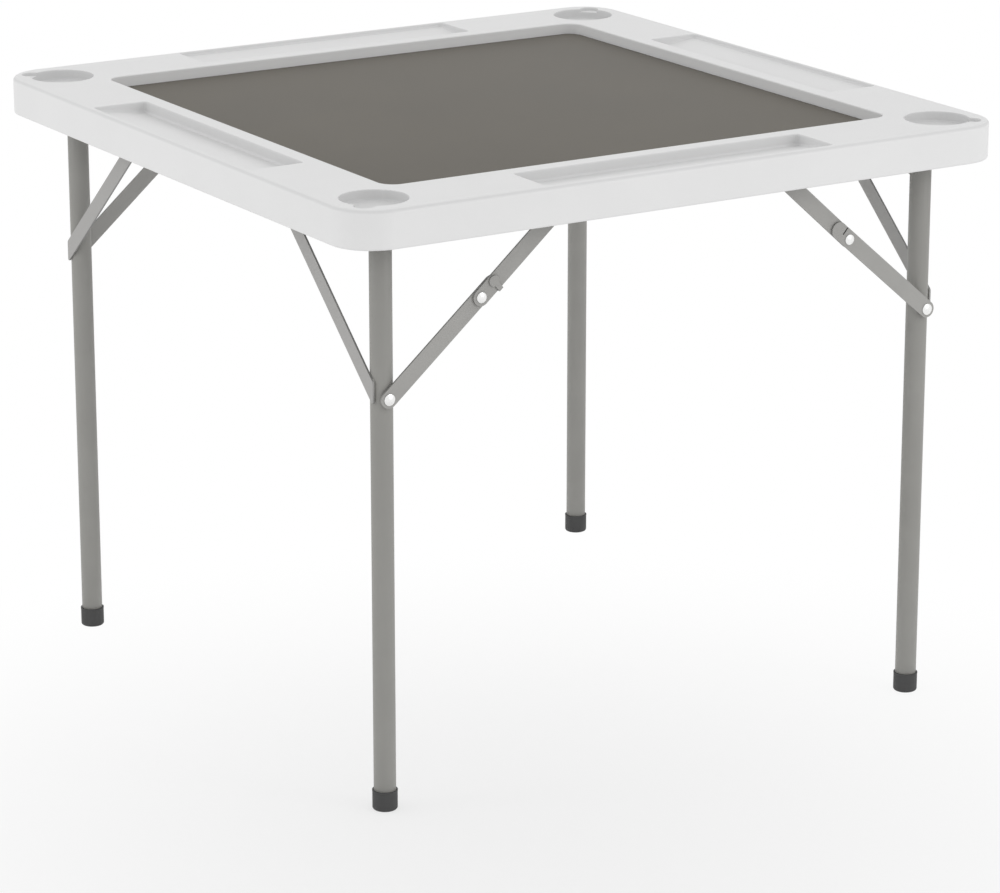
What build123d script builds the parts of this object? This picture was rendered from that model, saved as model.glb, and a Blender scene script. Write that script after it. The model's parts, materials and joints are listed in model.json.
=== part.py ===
from build123d import *
import math
import os

# A square folding card table: a moulded top with a sunken playing field, four chip trays and four cup
# holders, on two steel tube leg frames. Each frame turns in two bearings under the top and is held open
# by a jointed stay at each end. The left frame folds flat first and the right frame folds under it.
# X runs to the right, Y to the back and Z up. The origin is on the floor, under the middle of the top.
# "left" and "right" name the two frames, "front" and "back" the two ends of each. Millimetres, degrees.

os.makedirs("parts", exist_ok=True)

SIDES = {"left": -1, "right": 1}
ENDS = {"front": -1, "back": 1}
CORNERS = [(x, y) for x in SIDES.values() for y in ENDS.values()]

# Moulded top
top_side = 876.0
table_height = 711.0
skirt_height = 45.0
skirt_wall = 7.0
deck_wall = 4.0
plan_corner_radius = 50.0
rim_edge_radius = 5.0
skirt_edge_radius = 2.5
recess_lip_radius = 1.6
cut_overrun = 2.0

# Playing field and the covered board that lies in it
border_width = 97.5
field_corner_radius = 19.0
field_depth = 13.3
board_thickness = 3.0
board_gap = 1.2
board_edge_radius = 0.8

# Chip trays, one along each side, whose floors slope down towards the playing field
tray_length = 386.0
tray_width = 69.0
tray_depth = 14.0
tray_outer_depth = 5.5
tray_corner_radius = 3.8
tray_floor_radius = 3.2

# Cup holders, one in each corner, each with a thumb notch towards the corner
cup_diameter = 76.0
cup_inset = 57.5
cup_depth = 12.5
cup_floor_radius = 3.0
notch_width = 23.0
notch_reach = 51.0
notch_depth = 4.2

# Stiffening ribs under the field
rib_thickness = 3.0
rib_height = 6.0
rib_margin = 16.5
rib_count = 7

# Leg frames
tube_diameter = 25.4
tube_wall = 1.2
leg_inset_x = 71.0
leg_inset_y = 68.0
leg_rise = 14.0
left_pivot_drop = 22.7
right_pivot_drop = 36.7
weld_gap = 0.1
plug_lip = 2.0
plug_depth = 8.0
plug_edge_radius = 1.0

# Rubber feet
foot_diameter = 29.2
foot_height = 23.5
foot_floor = 5.0
foot_rim_height = 1.8
foot_rim_step = 0.2
foot_edge_radius = 3.0
push_clearance = 0.05

# Corner gussets, flat bars between each leg and its cross tube
gusset_width = 20.0
gusset_thickness = 2.5
gusset_angle = 41.9
gusset_drop = 200.7
gusset_overhang = 7.0
gusset_rise = 8.0
gusset_corner_radius = 5.5
gusset_small_radius = 2.0

# Pivot bearings and their straps
bearing_inset = 70.0
bearing_length = 22.0
bearing_wall = 3.15
running_clearance = 0.05
strap_clearance = 0.1
strap_thickness = 2.0
strap_width = 18.0
strap_flange = 18.0
strap_corner_radius = 3.0
pad_margin = 2.0
pad_overlength = 4.0
seat_height = 3.0

# Folding stays, two flat bars each
stay_width = 20.0
stay_thickness = 2.3
stay_gap = 0.3
stay_foot_clearance = 0.4
stay_drop = 206.7
stay_angle = 40.6
lower_stay_length = 153.4
left_upper_stay_length = 125.4
right_upper_stay_length = 119.3
left_anchor_drop = 24.7
right_anchor_drop = 27.7
tongue_reach = 29.5
slit_offset = 11.7
slit_depth = 10.5
slit_width = 1.8
hook_start = 19.8
hook_end = 26.0
hook_web = 1.2
hook_pad_radius = 6.4
hook_pad_lift = 2.7
hook_pad_thickness = 1.9
hook_clearance = 0.1
hook_root = 9.5

# Rivets and pins of the stays
pin_diameter = 6.0
pin_clearance = 0.05
pin_side_play = 0.05
shoulder_diameter = 10.0
rivet_grip = 3.7
stay_rivet_diameter = 13.5
stay_rivet_crown = 2.8
knee_rivet_diameter = 12.5
knee_rivet_crown = 2.5
rivet_rim = 0.8
anchor_head_diameter = 9.0
anchor_head_height = 0.8
anchor_head_play = 0.2
left_anchor_collar_diameter = 9.0
right_anchor_collar_diameter = 7.8
anchor_tail_diameter = 10.0
anchor_tail_height = 1.5
anchor_tail_radius = 0.9

# Side rails that carry the stays
rail_thickness = 2.0
rail_flange = 22.0
rail_clearance = 0.6
rail_edge_margin = 6.0
rail_overlength = 24.0
rail_corner_radius = 8.0
rail_flange_radius = 4.0
rail_pad_margin = 4.0
rail_screw_count = 4
rail_screw_margin = 15.0

# Screws into the moulded top
screw_diameter = 3.5
screw_grip = 5.3
screw_head_diameter = 7.6
screw_head_height = 2.2
screw_head_radius = 1.1
screw_hole_clearance = 0.25
screw_pilot_clearance = 0.05
screw_pilot_extra = 0.3
screw_slot_length = 4.0
screw_slot_width = 0.8
screw_slot_depth = 1.1

# Levels and places worked out from the sizes above
top_half = top_side / 2
skirt_foot = table_height - skirt_height
deck_underside = table_height - deck_wall
board_top = table_height - field_depth
field_floor = board_top - board_thickness
mounting_level = field_floor - deck_wall
seat_level = mounting_level - seat_height
hollow_half = top_half - skirt_wall
field_side = top_side - 2 * border_width
rib_pitch = (field_side - 2 * rib_margin) / (rib_count - 1)
tube_radius = tube_diameter / 2
tube_bore = tube_radius - tube_wall
leg_x = top_half - leg_inset_x
leg_y = top_half - leg_inset_y
leg_face = leg_y + tube_radius
pivot_level = {"left": mounting_level - left_pivot_drop, "right": mounting_level - right_pivot_drop}
bearing_y = leg_y - bearing_inset
bearing_bore = tube_radius + running_clearance
bearing_radius = bearing_bore + bearing_wall
strap_bore = bearing_radius + strap_clearance
strap_radius = strap_bore + strap_thickness

# The stays lie in two upright planes outside the legs, each given by its inner and outer face
inner_face = leg_y + foot_diameter / 2 + stay_foot_clearance
inner_back = inner_face + stay_thickness
outer_face = inner_back + stay_gap
outer_back = outer_face + stay_thickness
rail_face = outer_back + knee_rivet_crown + rail_clearance
rail_back = rail_face + rail_thickness
pin_radius = pin_diameter / 2
pin_hole = pin_radius + pin_clearance
stay_radius = stay_width / 2
stay_rivet_level = mounting_level - stay_drop
anchor_level = {"left": mounting_level - left_anchor_drop, "right": mounting_level - right_anchor_drop}
upper_stay_length = {"left": left_upper_stay_length, "right": right_upper_stay_length}
collar_radius = {"left": left_anchor_collar_diameter / 2, "right": right_anchor_collar_diameter / 2}

# On the left the upper bar lies in the outer plane, on the right the lower bar does
upper_face = {"left": outer_face, "right": inner_face}
lower_face = {"left": inner_face, "right": outer_face}


def end_plane(end, reach):
    """Upright plane across the table at a distance from its middle, with local X and Y along X and Z."""
    return Plane.XZ.offset(-ENDS[end] * reach)


def stay_direction(side):
    """Unit vector of a lower stay bar, from its rivet on the leg to the knee, in X and Z."""
    slope = math.radians(stay_angle)
    return (-SIDES[side] * math.cos(slope), math.sin(slope))


def knee_place(side):
    """Place of the knee rivet in X and Z."""
    run, rise = stay_direction(side)
    return (SIDES[side] * leg_x + run * lower_stay_length, stay_rivet_level + rise * lower_stay_length)


def anchor_place(side):
    """Place of the pin that holds an upper stay bar to the rail, in X and Z."""
    knee_x, knee_z = knee_place(side)
    height = anchor_level[side] - knee_z
    return (knee_x - SIDES[side] * math.sqrt(upper_stay_length[side] ** 2 - height ** 2), anchor_level[side])


def past_knee(side, run, lift):
    """Point on a lower bar's tongue: run past the knee, and lift from its middle to its upper edge."""
    along_x, along_z = stay_direction(side)
    knee_x, knee_z = knee_place(side)
    across_x, across_z = SIDES[side] * along_z, -SIDES[side] * along_x
    return (knee_x + run * along_x + lift * across_x, knee_z + run * along_z + lift * across_z)


def between(start, stop):
    """Middle, length and angle of the line between two points of a stay."""
    run, rise = stop[0] - start[0], stop[1] - start[1]
    middle = ((start[0] + stop[0]) / 2, (start[1] + stop[1]) / 2)
    return middle, math.hypot(run, rise), math.degrees(math.atan2(rise, run))


def dome(place, end, reach, radius, crown):
    """Round rivet head on an axis along Y, with its flat side at reach and its crown outwards."""
    centre = (place[0], 0, place[1])
    sign = ENDS[end]
    rise = crown - rivet_rim
    sphere_radius = (radius ** 2 + rise ** 2) / (2 * rise)
    rim = (radius, sign * (reach + rivet_rim))
    top = (0, sign * (reach + crown))
    with BuildPart() as head:
        with BuildSketch(Plane(origin=centre)):
            with BuildLine():
                Polyline((0, sign * reach), (radius, sign * reach), rim)
                RadiusArc(rim, top, -sign * sphere_radius)
                Line(top, (0, sign * reach))
            make_face()
        revolve(axis=Axis(centre, (0, 1, 0)))
    return head.part


def screw_places(side, end):
    """Places of the two screws of a bearing strap in X and Y."""
    reach = strap_radius + strap_flange / 2
    middle = SIDES[side] * leg_x
    return [(middle - reach, ENDS[end] * bearing_y), (middle + reach, ENDS[end] * bearing_y)]


# The rails run past the two anchor pins, and their screws are spread evenly between their ends
rail_start = anchor_place("left")[0] - rail_overlength
rail_stop = anchor_place("right")[0] + rail_overlength
rail_length = rail_stop - rail_start
rail_middle = (rail_start + rail_stop) / 2
rail_depth = max(left_anchor_drop, right_anchor_drop) + rail_edge_margin
rail_screw_y = rail_back + (rail_flange - rail_thickness) / 2
rail_pad_y = rail_face + rail_flange / 2
rail_screw_pitch = (rail_length - 2 * rail_screw_margin) / (rail_screw_count - 1)
strap_screws_at = [place for side in SIDES for end in ENDS for place in screw_places(side, end)]
rail_screws_at = [
    (rail_start + rail_screw_margin + number * rail_screw_pitch, ENDS[end] * rail_screw_y)
    for end in ENDS for number in range(rail_screw_count)
]

# Recesses of the top, seen from above
cup_centre = top_half - cup_inset
tray_centre = hollow_half - tray_width / 2
tray_inner = hollow_half - tray_width
cup_places = [(x * cup_centre, y * cup_centre) for x, y in CORNERS]
notch_run = notch_reach - notch_width / 2
notch_angle = 45.0
notch_centre = cup_centre + notch_run / 2 * math.cos(math.radians(notch_angle))
long_trays = [(0, -tray_centre), (0, tray_centre)]
cross_trays = [(-tray_centre, 0), (tray_centre, 0)]


def tray_wedges(floor_level, run, reach):
    """Wedges that slope the floors of the four trays, from the tray's inner side out to a reach."""
    rise = (tray_depth - tray_outer_depth) * (reach - tray_inner) / tray_width
    with BuildPart() as wedge:
        with BuildSketch(Plane.XZ):
            with BuildLine():
                foot = (tray_inner, floor_level)
                Polyline(foot, (reach, floor_level), (reach, floor_level + rise), foot)
            make_face()
        extrude(amount=run / 2, both=True)
    return [wedge.part.rotate(Axis.Z, turn) for turn in (0.0, 90.0, 180.0, 270.0)]


# The hollow under the top: the inside of the skirt, less the floors of the recesses, the ribs and the pads
with BuildPart() as hollow:
    with BuildSketch(Plane.XY.offset(skirt_foot - cut_overrun)):
        RectangleRounded(2 * hollow_half, 2 * hollow_half, plan_corner_radius - skirt_wall)
    extrude(amount=deck_underside - skirt_foot + cut_overrun)
    with BuildSketch(Plane.XY.offset(mounting_level)):
        field_outside = field_side + 2 * deck_wall
        RectangleRounded(field_outside, field_outside, field_corner_radius + deck_wall)
    extrude(amount=top_half, mode=Mode.SUBTRACT)
    with BuildSketch(Plane.XY.offset(deck_underside - tray_depth)):
        with Locations(*long_trays):
            Rectangle(tray_length + 2 * deck_wall, tray_width + 2 * deck_wall)
        with Locations(*cross_trays):
            Rectangle(tray_width + 2 * deck_wall, tray_length + 2 * deck_wall)
    extrude(amount=top_half, mode=Mode.SUBTRACT)
    add(tray_wedges(deck_underside - tray_depth, tray_length + 2 * deck_wall, hollow_half))
    with BuildSketch(Plane.XY.offset(deck_underside - cup_depth)):
        with Locations(*cup_places):
            Circle(cup_diameter / 2 + deck_wall)
    extrude(amount=top_half, mode=Mode.SUBTRACT)
    with BuildSketch(Plane.XY.offset(deck_underside - notch_depth)):
        for x, y in CORNERS:
            with Locations((x * notch_centre, y * notch_centre)):
                SlotCenterToCenter(notch_run, notch_width + 2 * deck_wall, rotation=x * y * notch_angle)
    extrude(amount=top_half, mode=Mode.SUBTRACT)
    with BuildSketch(Plane.XY.offset(seat_level)):
        pad_length = 2 * (strap_radius + strap_flange + pad_margin)
        with Locations(*[(x * leg_x, y * bearing_y) for x, y in CORNERS]):
            Rectangle(pad_length, bearing_length + 2 * pad_overlength)
    extrude(amount=top_half, mode=Mode.SUBTRACT)
    with BuildSketch(Plane.XY.offset(mounting_level)):
        with Locations(*[(rail_middle, y * rail_pad_y) for y in ENDS.values()]):
            Rectangle(rail_length + 2 * rail_pad_margin, rail_flange + 2 * rail_pad_margin)
    extrude(amount=top_half, mode=Mode.SUBTRACT)
    with BuildSketch(Plane.XY.offset(mounting_level - rib_height)):
        rib_length = (rib_count - 1) * rib_pitch + rib_thickness
        with GridLocations(rib_pitch, 0, rib_count, 1):
            Rectangle(rib_thickness, rib_length)
        with GridLocations(0, rib_pitch, 1, rib_count):
            Rectangle(rib_length, rib_thickness)
    extrude(amount=rib_height, mode=Mode.SUBTRACT)

# The recesses of the deck: the playing field, the trays with sloping round-edged floors, and the cup holders
with BuildPart() as trays:
    with BuildSketch(Plane.XY.offset(table_height - tray_depth)):
        with Locations(*long_trays):
            RectangleRounded(tray_length, tray_width, tray_corner_radius)
        with Locations(*cross_trays):
            RectangleRounded(tray_width, tray_length, tray_corner_radius)
    extrude(amount=tray_depth + cut_overrun)
    sloped = tray_wedges(table_height - tray_depth, tray_length + 2 * cut_overrun, hollow_half + cut_overrun)
    add(sloped, mode=Mode.SUBTRACT)
    tray_floors = trays.faces().filter_by(lambda face: -1 < face.normal_at().Z < -0.5)
    fillet([edge for face in tray_floors for edge in face.edges()], tray_floor_radius)

with BuildPart() as cups:
    with BuildSketch(Plane.XY.offset(table_height - cup_depth)):
        with Locations(*cup_places):
            Circle(cup_diameter / 2)
    extrude(amount=cup_depth + cut_overrun)
    fillet(cups.edges().group_by(Axis.Z)[0], cup_floor_radius)
    with BuildSketch(Plane.XY.offset(table_height - notch_depth)):
        for x, y in CORNERS:
            with Locations((x * notch_centre, y * notch_centre)):
                SlotCenterToCenter(notch_run, notch_width, rotation=x * y * notch_angle)
    extrude(amount=notch_depth + cut_overrun)

with BuildPart() as table_top:
    with BuildSketch(Plane.XY.offset(skirt_foot)):
        RectangleRounded(top_side, top_side, plan_corner_radius)
    extrude(amount=skirt_height)
    fillet(table_top.faces().sort_by(Axis.Z)[-1].edges(), rim_edge_radius)
    fillet(table_top.faces().sort_by(Axis.Z)[0].edges(), skirt_edge_radius)
    with BuildSketch(Plane.XY.offset(field_floor)):
        RectangleRounded(field_side, field_side, field_corner_radius)
    extrude(amount=table_height - field_floor + cut_overrun, mode=Mode.SUBTRACT)
    add([trays.part, cups.part], mode=Mode.SUBTRACT)
    deck = table_top.faces().filter_by(Axis.Z).sort_by(Axis.Z)[-1]
    fillet([edge for wire in deck.inner_wires() for edge in wire.edges()], recess_lip_radius)
    add(hollow.part, mode=Mode.SUBTRACT)
    for level, places in ((seat_level, strap_screws_at), (mounting_level, rail_screws_at)):
        with BuildSketch(Plane.XY.offset(level)):
            with Locations(*places):
                Circle(screw_diameter / 2 + screw_pilot_clearance)
        extrude(amount=screw_grip + screw_pilot_extra, mode=Mode.SUBTRACT)
table_top.part.label = "table_top"
export_step(table_top.part, "parts/table_top.step")

with BuildPart() as playing_surface:
    with BuildSketch(Plane.XY.offset(field_floor)):
        board_side = field_side - 2 * board_gap
        RectangleRounded(board_side, board_side, field_corner_radius - board_gap)
    extrude(amount=board_thickness)
    fillet(playing_surface.faces().sort_by(Axis.Z)[-1].edges(), board_edge_radius)
playing_surface.part.label = "playing_surface"
export_step(playing_surface.part, "parts/playing_surface.step")

# Side rails: steel angles screwed up against the pads at the front and back
for end, sign in ENDS.items():
    with BuildPart() as rail:
        with BuildSketch(Plane.XY.offset(mounting_level - rail_depth)):
            with Locations((rail_middle, sign * (rail_face + rail_back) / 2)):
                Rectangle(rail_length, rail_thickness)
        extrude(amount=rail_depth)
        fillet(rail.edges().filter_by(Axis.Y).group_by(Axis.Z)[0], rail_corner_radius)
        with BuildSketch(Plane.XY.offset(mounting_level - rail_thickness)):
            with Locations((rail_middle, sign * (rail_face + rail_flange / 2))):
                Rectangle(rail_length, rail_flange)
        extrude(amount=rail_thickness)
        upright_edges = rail.edges().filter_by(Axis.Z).group_by(Axis.Y)
        fillet(upright_edges[-1 if sign > 0 else 0], rail_flange_radius)
        with BuildSketch(Plane.XY.offset(mounting_level - rail_thickness)):
            with Locations(*[place for place in rail_screws_at if place[1] * sign > 0]):
                Circle(screw_diameter / 2 + screw_hole_clearance)
        extrude(amount=rail_thickness, mode=Mode.SUBTRACT)
        with BuildSketch(end_plane(end, rail_face)):
            with Locations(anchor_place("left"), anchor_place("right")):
                Circle(pin_hole)
        extrude(amount=-sign * rail_thickness, mode=Mode.SUBTRACT)
    rail.part.label = f"side_rail_{end}"
    export_step(rail.part, f"parts/{rail.part.label}.step")

# Cross-slotted screws, under the rails and under the bearing straps
screw_groups = {
    "rail_screws": (rail_screws_at, mounting_level, rail_thickness),
    "strap_screws": (strap_screws_at, seat_level, strap_thickness),
}
for name, (places, level, plate) in screw_groups.items():
    with BuildPart() as screws:
        with BuildSketch(Plane.XY.offset(level - plate - screw_head_height)):
            with Locations(*places):
                Circle(screw_head_diameter / 2)
        extrude(amount=screw_head_height)
        fillet(screws.edges().group_by(Axis.Z)[0], screw_head_radius)
        with BuildSketch(Plane.XY.offset(level - plate)):
            with Locations(*places):
                Circle(screw_diameter / 2)
        extrude(amount=plate + screw_grip)
        with BuildSketch(Plane.XY.offset(level - plate - screw_head_height)):
            with Locations(*places):
                Rectangle(screw_slot_length, screw_slot_width)
                Rectangle(screw_slot_width, screw_slot_length)
        extrude(amount=screw_slot_depth, mode=Mode.SUBTRACT)
    screws.part.label = name
    export_step(screws.part, f"parts/{name}.step")

# Pivot bearings: blocks with a round belly that hold the cross tubes, and the steel straps over them
for side in SIDES:
    pivot_x, pivot_z = SIDES[side] * leg_x, pivot_level[side]
    drop = seat_level - pivot_z
    for end, sign in ENDS.items():
        with BuildPart() as bearing:
            with BuildSketch(end_plane(end, bearing_y - bearing_length / 2)):
                with Locations((pivot_x, pivot_z)):
                    Circle(bearing_radius)
                with Locations((pivot_x, pivot_z + drop / 2)):
                    Rectangle(2 * bearing_radius, drop)
                with Locations((pivot_x, pivot_z)):
                    Circle(bearing_bore, mode=Mode.SUBTRACT)
            extrude(amount=-sign * bearing_length)
        bearing.part.label = f"pivot_bearing_{side}_{end}"
        export_step(bearing.part, f"parts/{bearing.part.label}.step")

        with BuildPart() as strap:
            with BuildSketch(end_plane(end, bearing_y - strap_width / 2)):
                with Locations((pivot_x, pivot_z)):
                    Circle(strap_radius)
                with Locations((pivot_x, pivot_z + drop / 2)):
                    Rectangle(2 * strap_radius, drop)
                with Locations((pivot_x, seat_level - strap_thickness / 2)):
                    Rectangle(2 * (strap_radius + strap_flange), strap_thickness)
                with Locations((pivot_x, pivot_z)):
                    Circle(strap_bore, mode=Mode.SUBTRACT)
                with Locations((pivot_x, pivot_z + drop / 2)):
                    Rectangle(2 * strap_bore, drop, mode=Mode.SUBTRACT)
            extrude(amount=-sign * strap_width)
            upright_edges = strap.edges().filter_by(Axis.Z).group_by(Axis.X)
            fillet(upright_edges[0] + upright_edges[-1], strap_corner_radius)
            with BuildSketch(Plane.XY.offset(seat_level - strap_thickness)):
                with Locations(*screw_places(side, end)):
                    Circle(screw_diameter / 2 + screw_hole_clearance)
            extrude(amount=strap_thickness, mode=Mode.SUBTRACT)
        strap.part.label = f"bearing_strap_{side}_{end}"
        export_step(strap.part, f"parts/{strap.part.label}.step")

# Leg frames: two legs, the cross tube that they turn with, plugs, feet and gussets
for side in SIDES:
    pivot_x, pivot_z = SIDES[side] * leg_x, pivot_level[side]
    leg_top = pivot_z + leg_rise
    leg_places = [(pivot_x, sign * leg_y) for sign in ENDS.values()]
    for end, sign in ENDS.items():
        with BuildPart() as leg:
            with BuildSketch(Plane.XY.offset(foot_floor)):
                with Locations((pivot_x, sign * leg_y)):
                    Circle(tube_radius)
                    Circle(tube_bore, mode=Mode.SUBTRACT)
            extrude(amount=leg_top - foot_floor)
            with BuildSketch(end_plane(end, leg_y)):
                with Locations((pivot_x, stay_rivet_level)):
                    Circle(pin_hole)
            extrude(amount=-sign * tube_diameter, mode=Mode.SUBTRACT)
        leg.part.label = f"leg_{end}_{side}"
        export_step(leg.part, f"parts/{leg.part.label}.step")

        with BuildPart() as foot:
            with BuildSketch(Plane.XY):
                with Locations((pivot_x, sign * leg_y)):
                    Circle(foot_diameter / 2 - foot_rim_step)
            extrude(amount=foot_height)
            fillet(foot.edges().group_by(Axis.Z)[0], foot_edge_radius)
            with BuildSketch(Plane.XY.offset(foot_height - foot_rim_height)):
                with Locations((pivot_x, sign * leg_y)):
                    Circle(foot_diameter / 2)
            extrude(amount=foot_rim_height)
            fillet(foot.edges().group_by(Axis.Z)[-1], foot_rim_step)
            with BuildSketch(Plane.XY.offset(foot_floor)):
                with Locations((pivot_x, sign * leg_y)):
                    Circle(tube_radius + push_clearance)
            extrude(amount=foot_height, mode=Mode.SUBTRACT)
        foot.part.label = f"foot_{end}_{side}"
        export_step(foot.part, f"parts/{foot.part.label}.step")

        gusset_foot = mounting_level - gusset_drop
        gusset_slope = math.tan(math.radians(gusset_angle))
        half_rise = gusset_width / 2 / math.cos(math.radians(gusset_angle))
        gusset_end = leg_y + gusset_overhang
        gusset_top = pivot_z + gusset_rise
        upper_end = gusset_end - (gusset_top - gusset_foot - half_rise) / gusset_slope
        lower_end = gusset_end - (gusset_top - gusset_foot + half_rise) / gusset_slope
        with BuildPart() as gusset:
            with BuildSketch(Plane.YZ.offset(SIDES[side] * (leg_x + tube_radius))):
                with BuildLine():
                    Polyline(
                        (sign * gusset_end, gusset_foot - half_rise),
                        (sign * gusset_end, gusset_foot + half_rise),
                        (sign * upper_end, gusset_top),
                        (sign * lower_end, gusset_top),
                        close=True,
                    )
                make_face()
            extrude(amount=SIDES[side] * gusset_thickness)
            corners = gusset.edges().filter_by(Axis.X).group_by(Axis.Z)
            fillet(corners[1], gusset_corner_radius)
            fillet(corners[0] + corners[-1], gusset_small_radius)
        gusset.part.label = f"gusset_{end}_{side}"
        export_step(gusset.part, f"parts/{gusset.part.label}.step")

    with BuildPart() as cross_tube:
        with BuildSketch(Plane.XZ.offset(leg_y)):
            with Locations((pivot_x, pivot_z)):
                Circle(tube_radius)
                Circle(tube_bore, mode=Mode.SUBTRACT)
        extrude(amount=-2 * leg_y)
        with BuildSketch(Plane.XY.offset(pivot_z - tube_diameter)):
            with Locations(*leg_places):
                Circle(tube_radius + weld_gap)
        extrude(amount=2 * tube_diameter, mode=Mode.SUBTRACT)
    cross_tube.part.label = f"cross_tube_{side}"
    export_step(cross_tube.part, f"parts/{cross_tube.part.label}.step")

    with BuildPart() as plugs:
        with BuildSketch(Plane.XY.offset(leg_top)):
            with Locations(*leg_places):
                Circle(tube_radius)
        extrude(amount=plug_lip)
        fillet(plugs.edges().group_by(Axis.Z)[-1], plug_edge_radius)
        with BuildSketch(Plane.XY.offset(leg_top - plug_depth)):
            with Locations(*leg_places):
                Circle(tube_bore - push_clearance)
        extrude(amount=plug_depth)
    plugs.part.label = f"leg_plugs_{side}"
    export_step(plugs.part, f"parts/{plugs.part.label}.step")

    # Rivets that hold the lower stay bars to the legs: a shoulder on the tube, a shank and a round head
    head_start = lower_face[side] + stay_thickness + pin_side_play
    heads = [
        dome((pivot_x, stay_rivet_level), end, head_start, stay_rivet_diameter / 2, stay_rivet_crown)
        for end in ENDS
    ]
    with BuildPart() as rivets:
        for end, sign in ENDS.items():
            with BuildSketch(end_plane(end, leg_y)):
                with Locations((pivot_x, stay_rivet_level)):
                    Circle(shoulder_diameter / 2)
            extrude(amount=-sign * (lower_face[side] - pin_side_play - leg_y))
        with BuildSketch(Plane.XY.offset(stay_rivet_level - shoulder_diameter)):
            with Locations(*leg_places):
                Circle(tube_radius)
        extrude(amount=2 * shoulder_diameter, mode=Mode.SUBTRACT)
        for end, sign in ENDS.items():
            with BuildSketch(end_plane(end, leg_face - rivet_grip)):
                with Locations((pivot_x, stay_rivet_level)):
                    Circle(pin_radius)
            extrude(amount=-sign * (head_start - leg_face + rivet_grip))
        add(heads)
    rivets.part.label = f"stay_rivets_{side}"
    export_step(rivets.part, f"parts/{rivets.part.label}.step")

# Folding stays: a lower bar from the leg to the knee and an upper bar from the knee to the rail
for side in SIDES:
    leg_end = (SIDES[side] * leg_x, stay_rivet_level)
    knee = knee_place(side)
    anchor = anchor_place(side)
    tongue_end = past_knee(side, tongue_reach - stay_radius, 0)
    lower_middle, lower_length, lower_turn = between(leg_end, tongue_end)
    upper_middle, upper_length, upper_turn = between(knee, anchor)
    hook_length = hook_end - hook_start
    hook_run = hook_start + hook_length / 2
    hook_edge = stay_radius + hook_clearance + hook_web
    hook_neck = hook_edge + hook_pad_lift
    hook_face = outer_back + hook_clearance
    for end, sign in ENDS.items():
        with BuildPart() as lower_stay:
            with BuildSketch(end_plane(end, lower_face[side])):
                with Locations(lower_middle):
                    SlotCenterToCenter(lower_length, stay_width, rotation=lower_turn)
                if side == "left":
                    with Locations(past_knee(side, hook_run, hook_root / 2 - hook_edge)):
                        Rectangle(hook_length, hook_root, rotation=lower_turn)
                with Locations(leg_end, knee):
                    Circle(pin_hole, mode=Mode.SUBTRACT)
                if side == "right":
                    with Locations(past_knee(side, slit_offset, stay_radius - slit_depth / 2)):
                        Rectangle(slit_width, slit_depth, rotation=lower_turn, mode=Mode.SUBTRACT)
            extrude(amount=-sign * stay_thickness)
            if side == "left":
                # A tab at the lower edge of the tongue is bent round the upper bar and ends in a round pad
                with BuildSketch(end_plane(end, lower_face[side])):
                    with Locations(past_knee(side, hook_run, hook_web / 2 - hook_edge)):
                        Rectangle(hook_length, hook_web, rotation=lower_turn)
                extrude(amount=-sign * (hook_face + hook_pad_thickness - lower_face[side]))
                with BuildSketch(end_plane(end, hook_face)):
                    with Locations(past_knee(side, hook_run, hook_neck / 2 - hook_edge)):
                        Rectangle(hook_length, hook_neck, rotation=lower_turn)
                    with Locations(past_knee(side, hook_run, hook_pad_lift)):
                        Circle(hook_pad_radius)
                extrude(amount=-sign * hook_pad_thickness)
        lower_stay.part.label = f"lower_stay_{end}_{side}"
        export_step(lower_stay.part, f"parts/{lower_stay.part.label}.step")

        with BuildPart() as upper_stay:
            with BuildSketch(end_plane(end, upper_face[side])):
                with Locations(upper_middle):
                    SlotCenterToCenter(upper_length, stay_width, rotation=upper_turn)
                with Locations(knee, anchor):
                    Circle(pin_hole, mode=Mode.SUBTRACT)
            extrude(amount=-sign * stay_thickness)
            with BuildSketch(end_plane(end, upper_face[side])):
                with Locations(anchor):
                    Circle(anchor_head_diameter / 2 + anchor_head_play)
            extrude(amount=-sign * (anchor_head_height + anchor_head_play), mode=Mode.SUBTRACT)
        upper_stay.part.label = f"upper_stay_{end}_{side}"
        export_step(upper_stay.part, f"parts/{upper_stay.part.label}.step")

        knee_head = dome(knee, end, outer_back, knee_rivet_diameter / 2, knee_rivet_crown)
        with BuildPart() as knee_rivet:
            with BuildSketch(end_plane(end, outer_face + pin_side_play)):
                with Locations(knee):
                    Circle(pin_radius)
            extrude(amount=-sign * (stay_thickness - pin_side_play))
            add(knee_head)
        knee_rivet.part.label = f"knee_rivet_{end}_{side}"
        export_step(knee_rivet.part, f"parts/{knee_rivet.part.label}.step")

        with BuildPart() as knee_tail:
            with BuildSketch(end_plane(end, inner_face)):
                with Locations(knee):
                    Circle(pin_radius)
            extrude(amount=-sign * stay_thickness)
        knee_tail.part.label = f"knee_tail_{end}_{side}"
        export_step(knee_tail.part, f"parts/{knee_tail.part.label}.step")

# Anchor pins: a head let into the upper bar, a collar that spaces the bar off the rail, and a tail outside
with BuildPart() as anchor_pins:
    for side in SIDES:
        head_start = upper_face[side] + pin_side_play
        collar_start = upper_face[side] + stay_thickness + pin_side_play
        for end, sign in ENDS.items():
            turned_steps = [
                (anchor_head_diameter / 2, head_start, head_start + anchor_head_height),
                (pin_radius, head_start, rail_back),
                (collar_radius[side], collar_start, rail_face),
                (anchor_tail_diameter / 2, rail_back, rail_back + anchor_tail_height),
            ]
            for radius, start, stop in turned_steps:
                with BuildSketch(end_plane(end, start)):
                    with Locations(anchor_place(side)):
                        Circle(radius)
                extrude(amount=-sign * (stop - start))
    tails = anchor_pins.edges().group_by(Axis.Y)
    fillet(tails[0] + tails[-1], anchor_tail_radius)
anchor_pins.part.label = "stay_anchor_pins"
export_step(anchor_pins.part, "parts/stay_anchor_pins.step")
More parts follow.
